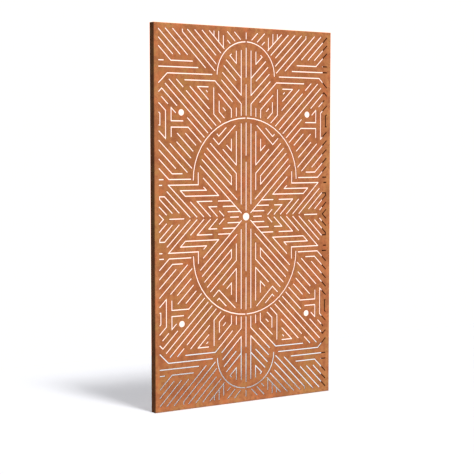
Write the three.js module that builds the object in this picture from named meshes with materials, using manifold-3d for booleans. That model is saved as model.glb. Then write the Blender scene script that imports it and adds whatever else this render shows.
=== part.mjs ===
// Weathering steel screen panel: one sheet folded into a shallow tray, with a return along each edge and a
// lip turned in behind the two upright ones, and an ornament of slots and round holes cut through its face.
// Millimetres, +Z up, the face looks along -Y.
// The origin is the middle of the underside of the bottom return.

import * as THREE from "three";
import { mergeVertices } from "three/addons/utils/BufferGeometryUtils.js";
import Module from "manifold-3d";

const wasm = await Module();
wasm.setup();

// Driving dimensions of the folded sheet
const panelWidth = 990;
const panelHeight = 1800;
const returnDepth = 42;
const lipWidth = 20;
const sheetThickness = 2;
const innerBendRadius = 2;
const bendSteps = 3;

// Driving dimensions of the cuts
const slotWidth = 5;
const borderWidth = 24;
const slotLand = 9;
const slotPitch = 28;
const mirrorTie = 6.5;
const sideHoleDiameter = 30;
const centreHoleDiameter = 37;
const cutterReach = 1;
const sideHoleSteps = 20;
const centreHoleSteps = 28;
const archSteps = 11;

const steel = new THREE.MeshStandardMaterial({ color: 0xb06a42, roughness: 0.85, metalness: 0.1 });

// The ornament is drawn face on, one quarter of it: x out from the middle line, y up from half height.
// It is drawn for a field of this half size inside the border, and follows the panel's own field each way.
const drawnField = { x: 471, y: 876 };

// A cut runs along guides, and turns where one guide meets the next. A straight guide is a x + b y = c.
const level = (y) => ({ a: 0, b: 1, c: y });
const upright = (x) => ({ a: 1, b: 0, c: x });
const slope = (rise) => ({ a: -1, b: 1, c: rise });
const counter = (sum) => ({ a: 1, b: 1, c: sum });
const ring = (y, radius) => ({ y, radius });
const border = { edge: true };

// Sets of parallel guides, each by its first one and its step
const guides = (kind, { first, step }) => (n) => kind(first + step * n);
const cornerHatch = guides(slope, { first: 673, step: -38.8 });
const crownHatch = guides(slope, { first: 731.5, step: 39.5 });
const archHatch = guides(slope, { first: 673.5, step: -40.5 });
const flankHatch = guides(slope, { first: 347.5, step: -39.8 });
const sideHatch = guides(slope, { first: 66, step: -43 });
const coreHatch = guides(slope, { first: 233.5, step: -40.2 });
const footHatch = guides(slope, { first: -117.5, step: -36.75 });
const middleRow = guides(level, { first: 0, step: 26.25 });
const shoulderRow = guides(level, { first: 730, step: -29 });
const holeRow = guides(level, { first: 454, step: -29 });
const middleColumn = guides(upright, { first: 0, step: 27.4 });
const crownColumn = guides(upright, { first: 126, step: 25.5 });
const waistColumn = guides(upright, { first: 149.5, step: 29.3 });
const sideColumn = guides(upright, { first: 464, step: -29 });
const coreChamfer = guides(counter, { first: 536, step: -38.5 });
const shoulderChamfer = counter(1097);
const flankChamfer = counter(1056.5);

// The two arches, the side hole, and the rings beside them where other cuts stop
const smallArch = { y: 671.6, radius: 160.5, foot: level(672) };
const largeArch = { y: 181.7, radius: 290, foot: level(178) };
const sideHole = { x: 353, y: 493 };
const nearestStop = slotLand + slotWidth / 2;
const above = (arch, gap = nearestStop) => ring(arch.y, arch.radius + gap);
const below = (arch, gap = slotPitch) => ring(arch.y, arch.radius - gap);
const besideCentreHole = ring(0, centreHoleDiameter / 2 + nearestStop);

// A straight guide moved outwards or upwards, or back. Most cuts stop a pitch away from the one they face.
const beyond = (guide, gap = slotPitch) => ({ ...guide, c: guide.c + gap * Math.hypot(guide.a, guide.b) });
const before = (guide, gap = slotPitch) => beyond(guide, -gap);
const footColumn = before(upright(largeArch.radius), 26.5);

// Short ties left on the two mirror lines: a slot that comes in on the slant stops its own corner short
const archTie = upright(mirrorTie / 2);
const footStop = level(mirrorTie / 2 + slotWidth / Math.sqrt(8));

function straightMeet(p, q) {
  const scale = p.a * q.b - q.a * p.b;
  return new THREE.Vector2((p.c * q.b - q.c * p.b) / scale, (p.a * q.c - q.a * p.c) / scale);
}

// Where a straight guide crosses a ring, the crossing that lies further out
function ringMeet(line, circle) {
  const direction = new THREE.Vector2(line.b, -line.a).normalize();
  if (direction.x + direction.y < 0) direction.negate();
  const foot = straightMeet(line, { a: direction.x, b: direction.y, c: direction.y * circle.y });
  const reach = Math.sqrt(circle.radius ** 2 - foot.distanceToSquared(new THREE.Vector2(0, circle.y)));
  return foot.addScaledVector(direction, reach);
}

// Where a straight guide leaves the field
function borderMeet(line) {
  if (line.b === 0) return new THREE.Vector2(line.c / line.a, drawnField.y);
  const side = straightMeet(line, upright(drawnField.x));
  return side.y > drawnField.y ? straightMeet(line, level(drawnField.y)) : side;
}

function meet(p, q) {
  if (p.edge) return borderMeet(q);
  if (q.edge) return borderMeet(p);
  if (p.radius) return ringMeet(q, p);
  if (q.radius) return ringMeet(p, q);
  return straightMeet(p, q);
}

const cuts = [];

function cut(...chain) {
  cuts.push(chain.slice(1).map((guide, i) => meet(chain[i], guide)));
}

function cutArch(arch) {
  const circle = ring(arch.y, arch.radius);
  const middle = new THREE.Vector2(0, arch.y);
  const start = ringMeet(archTie, circle).sub(middle).angle();
  const end = ringMeet(arch.foot, circle).sub(middle);
  const sweep = Math.atan2(end.y, end.x) - start;
  const points = [];
  for (let i = 0; i <= archSteps; i += 1) {
    const angle = start + (sweep * i) / archSteps;
    points.push(new THREE.Vector2(Math.cos(angle), Math.sin(angle)).multiplyScalar(arch.radius).add(middle));
  }
  cuts.push(points);
}

// The two arches, and the broken cut down the middle line
cutArch(smallArch);
cutArch(largeArch);
cut(border, middleColumn(0), above(smallArch));
cut(below(smallArch), middleColumn(0), level(663));
cut(level(632), middleColumn(0), above(largeArch));
cut(below(largeArch, 22), middleColumn(0), level(293));
cut(level(263), middleColumn(0), besideCentreHole);

// The crown, over the small arch
for (const n of [1, 2]) cut(border, crownHatch(n), above(smallArch));
cut(before(crownColumn(0), 21), crownHatch(0), above(smallArch));
for (const n of [1, 2]) cut(border, crownColumn(n), cornerHatch(0));
cut(level(drawnField.y - 19), crownColumn(0), cornerHatch(0));

// The corner, from the border down to the shoulder rows and the small arch
for (const n of [0, 1, 3]) cut(border, cornerHatch(n), above(smallArch));
cut(border, cornerHatch(2), above(smallArch, slotPitch));
cut(border, upright(345), cornerHatch(4), above(smallArch));
cut(border, cornerHatch(5), shoulderRow(1));
for (const n of [6, 7, 8]) cut(border, cornerHatch(n), beyond(shoulderRow(0)));
cut(border, cornerHatch(9), shoulderRow(0), before(cornerHatch(5)));

// The shoulder rows, from the border in towards the arches
cut(border, shoulderRow(0), before(cornerHatch(9), 26));
cut(border, shoulderRow(1), before(cornerHatch(5)));
cut(border, shoulderChamfer, shoulderRow(2), beyond(upright(smallArch.radius), 26));
cut(beyond(flankHatch(2)), shoulderRow(3), archHatch(5), beyond(middleColumn(1), 48));
cut(beyond(waistColumn(1)), shoulderRow(4), flankHatch(0), beyond(waistColumn(1)));
cut(before(shoulderRow(4), 15.5), slope(377.5), beyond(waistColumn(1), 32.5));

// Under the small arch
cut(beyond(middleColumn(2), 26), counter(853.5), archHatch(0), middleColumn(2), below(smallArch, 32));
cut(below(smallArch), archHatch(1), middleColumn(1));
cut(below(smallArch), archHatch(2), middleColumn(2));
cut(below(smallArch, 37), middleColumn(1), archHatch(3), below(smallArch));
cut(before(smallArch.foot, 23), archHatch(4), middleColumn(1), above(largeArch));
cut(before(waistColumn(1), 25), archHatch(6), middleColumn(3), above(largeArch));
cut(before(archHatch(4), 32.5), middleColumn(2), above(largeArch));
cut(before(waistColumn(0), 20), archHatch(7), beyond(middleColumn(3), 31));
cut(before(archHatch(6), 21), waistColumn(0), archHatch(8), above(largeArch, 22));
cut(before(shoulderRow(3), 31), waistColumn(1), archHatch(9), above(largeArch));

// The flank, from the shoulder rows down to the large arch
cut(before(shoulderRow(3)), flankHatch(1), beyond(waistColumn(1), 24));
cut(before(shoulderRow(2), 26), flankHatch(2), before(shoulderRow(3), 33.5));
cut(before(shoulderRow(3), 48), flankHatch(2), above(largeArch));
for (const n of [3, 4]) cut(before(shoulderChamfer, 24.5), flankHatch(n), above(largeArch));
cut(border, flankChamfer, flankHatch(5), level(sideHole.y + 30));
cut(level(sideHole.y - 23.5), flankHatch(5), above(largeArch));
cut(before(flankChamfer, 25), flankHatch(6), beyond(sideColumn(2), 16));

// Round the side hole
cut(beyond(upright(sideHole.x)), flankHatch(6), sideColumn(2), holeRow(0), before(flankHatch(5), 26));
cut(beyond(sideHatch(3), 25.5), sideColumn(2), holeRow(1), flankHatch(6), above(largeArch));
cut(border, sideHatch(1), sideColumn(0), level(434), border);
cut(border, sideHatch(0), sideColumn(1), sideHatch(3), border);

// The side, down to the middle rows
for (const n of [0, 1]) cut(before(holeRow(1), 27), sideHatch(n), above(largeArch, slotPitch));
cut(before(sideColumn(2)), sideHatch(2), above(largeArch, slotPitch));
cut(before(sideColumn(1), 22), sideHatch(3), above(largeArch));
cut(border, sideHatch(4), above(largeArch, 33));
cut(border, sideHatch(5), beyond(middleRow(8), 23.5));
cut(border, sideHatch(6), middleRow(8), above(largeArch, 58));
cut(border, sideHatch(7), middleRow(7), above(largeArch));
cut(border, middleRow(7), before(sideHatch(7), 19.5));
cut(border, middleRow(6), before(footHatch(4), 22.5));

// Inside the large arch
cut(below(largeArch, 21), coreHatch(0), coreChamfer(0), beyond(middleColumn(3)));
cut(below(largeArch, 23), coreHatch(1), coreChamfer(1), beyond(middleColumn(2), 5));
cut(before(coreChamfer(1), 32), coreHatch(0), middleColumn(3), before(coreChamfer(1), 30));
cut(before(coreChamfer(1), 31), coreHatch(1), middleColumn(2), before(coreChamfer(1), 23.5));
cut(below(largeArch), coreHatch(2), middleColumn(2), beyond(coreHatch(5)));
cut(below(largeArch), coreHatch(3), middleColumn(3), coreHatch(4), below(largeArch));
cut(below(largeArch), coreHatch(5), beyond(middleColumn(1), 22.5));
cut(below(largeArch), coreHatch(6), besideCentreHole);
cut(below(largeArch, 25), middleColumn(1), beyond(coreHatch(6)));
cut(
  before(footColumn), coreHatch(8), middleRow(5), footHatch(3), middleRow(4), coreHatch(7),
  before(footColumn, 26),
);
for (const n of [1, 2, 3]) cut(beyond(footHatch(0)), middleRow(n), coreHatch(6));

// The foot hatch, down to half height
cut(before(middleRow(2), 20), footHatch(0), footStop);
for (const n of [1, 2]) cut(beyond(footHatch(0), 6.5), middleRow(n + 1), footHatch(n), footStop);
cut(middleRow(3), footHatch(3), footStop);
cut(beyond(largeArch.foot, 37), footColumn, middleRow(6), footHatch(4), footStop);
cut(before(middleRow(6)), footHatch(5), footStop);
cut(middleRow(1), footHatch(6), middleRow(4), upright(467.5), footHatch(7), middleRow(1));
cut(border, footHatch(8), beyond(middleRow(0), 19.5));
cut(border, footHatch(9), counter(448.25), border);
cut(beyond(footHatch(9), 21.5), middleRow(0), footHatch(6));
cut(beyond(footHatch(0), 19.5), middleRow(0), beyond(upright(centreHoleDiameter / 2), 22));

function toManifold(geometry) {
  const bare = geometry.clone();
  bare.deleteAttribute("normal");
  bare.deleteAttribute("uv");
  const merged = mergeVertices(bare);
  const vertProperties = new Float32Array(merged.attributes.position.array);
  const triVerts = new Uint32Array(merged.index.array);
  return new wasm.Manifold(new wasm.Mesh({ numProp: 3, vertProperties, triVerts }));
}

function toGeometry(manifold) {
  const mesh = manifold.getMesh();
  const geometry = new THREE.BufferGeometry();
  geometry.setAttribute("position", new THREE.BufferAttribute(mesh.vertProperties, mesh.numProp));
  geometry.setIndex(new THREE.BufferAttribute(mesh.triVerts, 1));
  geometry.computeVertexNormals();
  return geometry;
}

// The outline of one slot: its centre line moved half a width to each side, square at both ends and mitred
// where it turns. A sharp turn, past a right angle, is cut off square on its outer side.
function slotOutline(points, width) {
  const half = width / 2;
  const runs = points.slice(1).map((point, i) => point.clone().sub(points[i]).normalize());
  const across = runs.map((run) => new THREE.Vector2(-run.y, run.x));
  const side = (reach) => points.flatMap((point, i) => {
    const incoming = Math.max(i - 1, 0);
    const outgoing = Math.min(i, runs.length - 1);
    const outer = reach * runs[incoming].cross(runs[outgoing]) < 0;
    const cosine = across[incoming].dot(across[outgoing]);
    const squareEnd = (run, past) => {
      return point.clone().addScaledVector(across[run], reach).addScaledVector(runs[run], past);
    };
    if (outer && cosine < 0) return [squareEnd(incoming, half), squareEnd(outgoing, -half)];
    const mitre = across[incoming].clone().add(across[outgoing]).divideScalar(1 + cosine);
    return [point.clone().addScaledVector(mitre, reach)];
  });
  return [...side(half), ...side(-half).reverse()];
}

// A cutter that passes right through the face, from an outline in the plane of the face
function faceCutter(outline) {
  const depth = sheetThickness + 2 * cutterReach;
  const geometry = new THREE.ExtrudeGeometry(new THREE.Shape(outline), { depth, bevelEnabled: false });
  geometry.translate(0, 0, -sheetThickness - cutterReach);
  return toManifold(geometry);
}

function holeCutter(centre, diameter, steps) {
  const outline = [];
  for (let i = 0; i < steps; i += 1) {
    const angle = (2 * Math.PI * (i + 0.5)) / steps;
    const spoke = new THREE.Vector2(Math.cos(angle), Math.sin(angle)).multiplyScalar(diameter / 2);
    outline.push(spoke.add(centre));
  }
  return faceCutter(outline);
}

// A block with its front at z = 0, and with rounded edges all round its front and its back
function roundedBlock(width, height, depth, radius) {
  const halfWidth = width / 2 - radius;
  const halfHeight = height / 2 - radius;
  const outline = new THREE.Shape([
    new THREE.Vector2(-halfWidth, -halfHeight),
    new THREE.Vector2(halfWidth, -halfHeight),
    new THREE.Vector2(halfWidth, halfHeight),
    new THREE.Vector2(-halfWidth, halfHeight),
  ]);
  const bevel = { bevelEnabled: true, bevelThickness: radius, bevelSize: radius, bevelSegments: bendSteps };
  const geometry = new THREE.ExtrudeGeometry(outline, { depth: depth - 2 * radius, ...bevel });
  geometry.translate(0, 0, radius - depth);
  return toManifold(geometry);
}

// The block that one side of the folded sheet wraps: round all along the face, and at the back only down the
// sides, where the lips turn in
function wrappedBlock(inset, radius) {
  const width = panelWidth - 2 * inset;
  const height = panelHeight - 2 * inset;
  const depth = returnDepth - 2 * inset;
  const faceBends = roundedBlock(width, height, 2 * depth, radius);
  const lipBends = roundedBlock(width, 2 * height, depth, radius);
  return faceBends.intersect(lipBends).translate([0, 0, -inset]);
}

// The folded sheet: its outer side less its inner side, open at the back between the lips
function foldedTray() {
  const outer = wrappedBlock(0, innerBendRadius + sheetThickness);
  const inner = wrappedBlock(sheetThickness, innerBendRadius);
  const mouthHeight = panelHeight - 2 * sheetThickness;
  const mouthDepth = 2 * (sheetThickness + cutterReach);
  const mouth = new THREE.BoxGeometry(panelWidth - 2 * lipWidth, mouthHeight, mouthDepth);
  mouth.translate(0, 0, -returnDepth);
  return outer.subtract(inner).subtract(toManifold(mouth));
}

const field = { x: panelWidth / 2 - borderWidth, y: panelHeight / 2 - borderWidth };
const toField = new THREE.Vector2(field.x / drawnField.x, field.y / drawnField.y);
const quarters = [[1, 1], [-1, 1], [-1, -1], [1, -1]].map(([x, y]) => new THREE.Vector2(x, y));

const inQuarter = (point, quarter) => new THREE.Vector2().copy(point).multiply(toField).multiply(quarter);

// Each cut in all four quarters, less the copies that fall on themselves
function mirroredCuts() {
  const seen = new Map();
  for (const points of cuts) {
    for (const quarter of quarters) {
      const copy = points.map((point) => inQuarter(point, quarter));
      const key = copy.map((point) => `${Math.round(point.x)},${Math.round(point.y)}`).sort().join(" ");
      if (!seen.has(key)) seen.set(key, copy);
    }
  }
  return [...seen.values()];
}

function cutPanel() {
  let sheet = foldedTray();
  for (const points of mirroredCuts()) sheet = sheet.subtract(faceCutter(slotOutline(points, slotWidth)));
  for (const quarter of quarters) {
    sheet = sheet.subtract(holeCutter(inQuarter(sideHole, quarter), sideHoleDiameter, sideHoleSteps));
  }
  return sheet.subtract(holeCutter(new THREE.Vector2(), centreHoleDiameter, centreHoleSteps));
}

const screenPanel = new THREE.Mesh(toGeometry(cutPanel()), steel);
screenPanel.name = "screen_panel";
screenPanel.rotation.x = Math.PI / 2;
screenPanel.position.set(0, -returnDepth / 2, panelHeight / 2);

const part = new THREE.Group();
part.add(screenPanel);

export default part;
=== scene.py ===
"""Rusted looks, floor, light and camera for the weathering steel screen panel."""

import math

import bpy
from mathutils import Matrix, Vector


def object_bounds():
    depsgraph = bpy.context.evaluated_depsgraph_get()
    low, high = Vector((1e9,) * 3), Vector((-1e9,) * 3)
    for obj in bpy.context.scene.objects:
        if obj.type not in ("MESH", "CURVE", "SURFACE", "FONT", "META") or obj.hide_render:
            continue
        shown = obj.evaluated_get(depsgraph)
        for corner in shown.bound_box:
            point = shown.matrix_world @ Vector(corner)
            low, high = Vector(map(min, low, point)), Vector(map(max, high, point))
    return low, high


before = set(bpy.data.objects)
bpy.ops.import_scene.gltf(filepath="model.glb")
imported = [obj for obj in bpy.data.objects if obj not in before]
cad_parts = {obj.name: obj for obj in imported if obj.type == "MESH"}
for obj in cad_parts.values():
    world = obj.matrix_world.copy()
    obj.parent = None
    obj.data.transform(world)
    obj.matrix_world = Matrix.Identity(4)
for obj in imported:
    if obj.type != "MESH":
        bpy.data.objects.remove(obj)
cad_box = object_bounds()

# Metres. The face looks along -Y, and the panel stands on its bottom return, centred on the origin
PANEL_HALF_WIDTH = cad_box[1][0]
PANEL_HEIGHT = cad_box[1][2]
FACE_Y = cad_box[0][1]
SHEET = 0.002
BEND = 0.004
LIP = 0.020
BORDER = 0.024
FIELD_HALF_WIDTH = PANEL_HALF_WIDTH - BORDER
FIELD_HALF_HEIGHT = PANEL_HEIGHT / 2 - BORDER


class Value:
    """One output in a node tree, so that shader maths reads as sums."""

    def __init__(self, tree, socket):
        self.tree = tree
        self.socket = socket

    def maths(self, operation, *terms):
        return self.tree.node("ShaderNodeMath", {"operation": operation}, dict(enumerate(terms)))

    def __add__(self, other):
        return self.maths("ADD", self, other)

    def __radd__(self, other):
        return self.maths("ADD", other, self)

    def __sub__(self, other):
        return self.maths("SUBTRACT", self, other)

    def __rsub__(self, other):
        return self.maths("SUBTRACT", other, self)

    def __mul__(self, other):
        return self.maths("MULTIPLY", self, other)

    def __rmul__(self, other):
        return self.maths("MULTIPLY", other, self)

    def __gt__(self, other):
        return self.maths("GREATER_THAN", self, other)

    def __lt__(self, other):
        return self.maths("LESS_THAN", self, other)

    def __abs__(self):
        return self.maths("ABSOLUTE", self)

    def __getitem__(self, axis):
        return self.tree.node("ShaderNodeSeparateXYZ", {}, {0: self}, axis)

    def step(self, low, high):
        """0 below low, 1 above high, and smooth between them."""
        limits = {"Value": self, "From Min": low, "From Max": high}
        return self.tree.node("ShaderNodeMapRange", {"interpolation_type": "SMOOTHSTEP"}, limits)


class Nodes:
    """A node tree that grows by one call a node."""

    def __init__(self, tree):
        self.tree = tree
        tree.nodes.clear()

    def node(self, kind, settings, inputs, output=0):
        made = self.tree.nodes.new(kind)
        for name, setting in settings.items():
            setattr(made, name, setting)
        for key, term in inputs.items():
            if isinstance(term, Value):
                self.tree.links.new(term.socket, made.inputs[key])
            else:
                made.inputs[key].default_value = term
        return Value(self, made.outputs[output]) if made.outputs else None

    def noise(self, where, scale, detail, roughness=0.5, distortion=0.0):
        inputs = {"Vector": where, "Scale": scale, "Detail": detail}
        inputs.update({"Roughness": roughness, "Distortion": distortion})
        return self.node("ShaderNodeTexNoise", {}, inputs)

    def stretch(self, where, factors):
        return self.node("ShaderNodeVectorMath", {"operation": "MULTIPLY"}, {0: where, 1: factors})

    def blend(self, factor, first, second):
        """The colour first where factor is 0, and second where it is 1."""
        inputs = {"Factor": factor, 6: first, 7: second}
        return self.node("ShaderNodeMix", {"data_type": "RGBA"}, inputs, 2)


def colour(red, green, blue):
    return (red, green, blue, 1.0)


def rusted_steel():
    material = bpy.data.materials.new("rusted_steel")
    material.use_nodes = True
    nodes = Nodes(material.node_tree)
    place = nodes.node("ShaderNodeTexCoord", {}, {}, "Object")
    facing = nodes.node("ShaderNodeNewGeometry", {}, {}, "True Normal")

    # Patterns from the broadest to the finest, some drawn out down the panel as rain leaves them
    rained = nodes.stretch(place, (1.0, 1.0, 0.7))
    streaked = nodes.stretch(place, (1.0, 1.0, 0.045))
    clouds = nodes.noise(place, 2.3, 4.0, 0.55)
    hues = nodes.noise(rained, 4.1, 3.0, 0.6, 0.4)
    patches = nodes.noise(place, 15.0, 6.0, 0.66, 0.5)
    embers = nodes.noise(rained, 21.0, 4.0, 0.6, 0.5)
    runs = nodes.noise(streaked, 38.0, 4.0, 0.6)
    blotches = nodes.noise(place, 55.0, 5.0, 0.62, 0.3)
    grain = nodes.noise(place, 330.0, 4.0, 0.6)
    flecks = nodes.noise(place, 720.0, 2.0, 0.5)

    bright = colour(0.63, 0.245, 0.089)
    orange = colour(0.555, 0.20, 0.070)
    golden = colour(0.51, 0.240, 0.070)
    red_orange = colour(0.66, 0.180, 0.060)
    red_brown = colour(0.385, 0.115, 0.043)
    umber = colour(0.23, 0.074, 0.030)
    scorched = colour(0.32, 0.082, 0.022)
    # The scale colour is painted shade inside the tray. The soot colour paints shade behind the lips, and
    # also colours the burnt walls of the cuts
    scale = colour(0.15, 0.045, 0.016)
    soot_and_painted_shade = colour(0.06, 0.024, 0.014)

    rust = nodes.blend(clouds.step(0.36, 0.66), orange, bright)
    rust = nodes.blend(hues.step(0.50, 0.66) * 0.8, rust, golden)
    rust = nodes.blend((1 - embers.step(0.34, 0.46)) * 0.7, rust, golden)
    rust = nodes.blend(patches.step(0.44, 0.64) * 0.75, rust, red_brown)
    rust = nodes.blend(embers.step(0.53, 0.65) * 0.6, rust, red_orange)
    rust = nodes.blend(blotches.step(0.48, 0.66) * 0.70, rust, red_brown)
    rust = nodes.blend(runs.step(0.50, 0.74) * 0.42, rust, red_brown)
    rust = nodes.blend(grain.step(0.56, 0.74) * 0.30, rust, umber)
    rust = nodes.blend(flecks.step(0.60, 0.72) * 0.35, rust, bright)

    x = abs(place[0])
    y = place[1]
    z = place[2]
    edge_on = abs(facing[1])

    # The cutting heat darkens the field of slots, most of all in a band along every slot
    fade_in = 0.004
    fade_out = 0.006
    band = 0.005
    from_middle = abs(z - PANEL_HEIGHT / 2)
    past_side = x.step(FIELD_HALF_WIDTH - fade_in, FIELD_HALF_WIDTH + fade_out)
    past_end = from_middle.step(FIELD_HALF_HEIGHT - fade_in, FIELD_HALF_HEIGHT + fade_out)
    rust = nodes.blend((1 - past_side) * (1 - past_end) * 0.20, rust, scorched)
    rounded = nodes.node("ShaderNodeBevel", {"samples": 6}, {"Radius": band})
    dot = {"operation": "DOT_PRODUCT"}
    turned = nodes.node("ShaderNodeVectorMath", dot, {0: rounded, 1: facing}, "Value")
    on_face = edge_on.step(0.9, 0.99)
    rust = nodes.blend((1 - turned).step(0.0, 0.14) * on_face * 0.7, rust, scorched)

    # Painted shade: the inside of the tray is darkened where shade falls, most of all behind the lips
    half_sheet = SHEET / 2
    lip_fade = 0.01
    inside = (x < PANEL_HALF_WIDTH - half_sheet) * (z > half_sheet) * (z < PANEL_HEIGHT - half_sheet)
    inside = inside * (y > FACE_Y + half_sheet) * (y < -FACE_Y - half_sheet)
    rust = nodes.blend(inside * (patches.step(0.38, 0.62) * 0.45 + 0.35), rust, scale)
    behind_lip = x.step(PANEL_HALF_WIDTH - LIP - lip_fade, PANEL_HALF_WIDTH - LIP)
    rust = nodes.blend(inside * behind_lip * 0.8, rust, soot_and_painted_shade)

    # The walls of the cuts are burnt. They lie within the sheet's thickness and inside the bends
    slack = 0.0003
    bend_zone = BEND + SHEET
    in_face = (y < FACE_Y + SHEET + slack) * (x < PANEL_HALF_WIDTH - bend_zone)
    in_face = in_face * (z > bend_zone) * (z < PANEL_HEIGHT - bend_zone)
    cut = (edge_on < 0.5) * in_face
    rust = nodes.blend(cut * (blotches.step(0.40, 0.62) * 0.4 + 0.3), rust, soot_and_painted_shade)

    roughness = 0.80 + patches * 0.10 + grain * 0.08 - cut * 0.12
    relief = grain * 0.6 + flecks * 0.25 + blotches * 0.5
    bump = nodes.node("ShaderNodeBump", {}, {"Strength": 0.35, "Distance": 0.0006, "Height": relief})
    inputs = {"Base Color": rust, "Roughness": roughness, "Normal": bump, "Specular IOR Level": 0.25}
    shader = nodes.node("ShaderNodeBsdfPrincipled", {}, inputs)
    nodes.node("ShaderNodeOutputMaterial", {}, {"Surface": shader})
    return material


def pale_floor():
    material = bpy.data.materials.new("pale_floor")
    material.use_nodes = True
    nodes = Nodes(material.node_tree)
    white = colour(0.79, 0.785, 0.805)
    inputs = {"Base Color": white, "Roughness": 0.9, "Specular IOR Level": 0.0}
    shader = nodes.node("ShaderNodeBsdfPrincipled", {}, inputs)
    nodes.node("ShaderNodeOutputMaterial", {}, {"Surface": shader})
    return material


def make_floor():
    """A floor that ends behind the shadow, where the backdrop takes over."""
    side = 12.0
    front = -12.0
    back = 1.35
    mesh = bpy.data.meshes.new("floor")
    corners = [(-side, front, 0), (side, front, 0), (side, back, 0), (-side, back, 0)]
    mesh.from_pydata(corners, [], [(0, 1, 2, 3)])
    mesh.materials.append(pale_floor())
    floor = bpy.data.objects.new("floor", mesh)
    bpy.context.scene.collection.objects.link(floor)
    floor.visible_diffuse = False
    floor.visible_shadow = False


def make_sun(name, towards, strength, angle):
    """A far light that lies in the direction towards, with that angle across in degrees."""
    light = bpy.data.lights.new(name, "SUN")
    light.energy = strength * math.pi
    light.angle = math.radians(angle)
    sun = bpy.data.objects.new(name, light)
    across = math.hypot(towards[0], towards[1])
    sun.rotation_euler = (math.atan2(across, towards[2]), 0, math.atan2(towards[0], -towards[1]))
    bpy.context.scene.collection.objects.link(sun)


def make_lights():
    """A key in front at three heights, for a shadow that softens as it goes, and weaker lights round it."""
    for rise in (0.75, 0.91, 1.14):
        make_sun("key", (0.073, -0.404, rise), 0.227, 9)
    make_sun("overhead", (0.0, 0.0, 1.0), 0.53, 1)
    make_sun("front_bounce", (0.30, -0.93, -0.20), 0.65, 30)
    make_sun("back_bounce", (0.35, 0.85, -0.30), 0.30, 40)


def make_world():
    """A warm white backdrop, over-exposed to plain white, and a weak cool fill light all round."""
    backdrop = colour(1.50, 1.12, 1.0)
    fill = colour(0.125, 0.145, 0.165)
    world = bpy.data.worlds.new("studio")
    world.use_nodes = True
    bpy.context.scene.world = world
    nodes = Nodes(world.node_tree)
    seen = nodes.node("ShaderNodeLightPath", {}, {}, "Is Camera Ray")
    inputs = {"Color": nodes.blend(seen, fill, backdrop), "Strength": 1.0}
    light = nodes.node("ShaderNodeBackground", {}, inputs)
    nodes.node("ShaderNodeOutputWorld", {}, {"Surface": light})


def make_camera():
    frame_pixels = 474
    focal_pixels = 1176.5
    tilt_down = 4.322
    turn_right = 31.404
    data = bpy.data.cameras.new("view")
    data.sensor_width = 36.0
    data.lens = focal_pixels / frame_pixels * data.sensor_width
    data.clip_end = 200.0
    camera = bpy.data.objects.new("view", data)
    camera.location = (-2.9787, -4.8153, 1.2285)
    camera.rotation_euler = (math.radians(90 - tilt_down), 0, math.radians(-turn_right))
    bpy.context.scene.collection.objects.link(camera)
    bpy.context.scene.camera = camera


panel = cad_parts["screen_panel"]
panel.data.materials.clear()
panel.data.materials.append(rusted_steel())

make_floor()
make_lights()
make_world()
make_camera()
bpy.context.scene.view_settings.view_transform = "Standard"
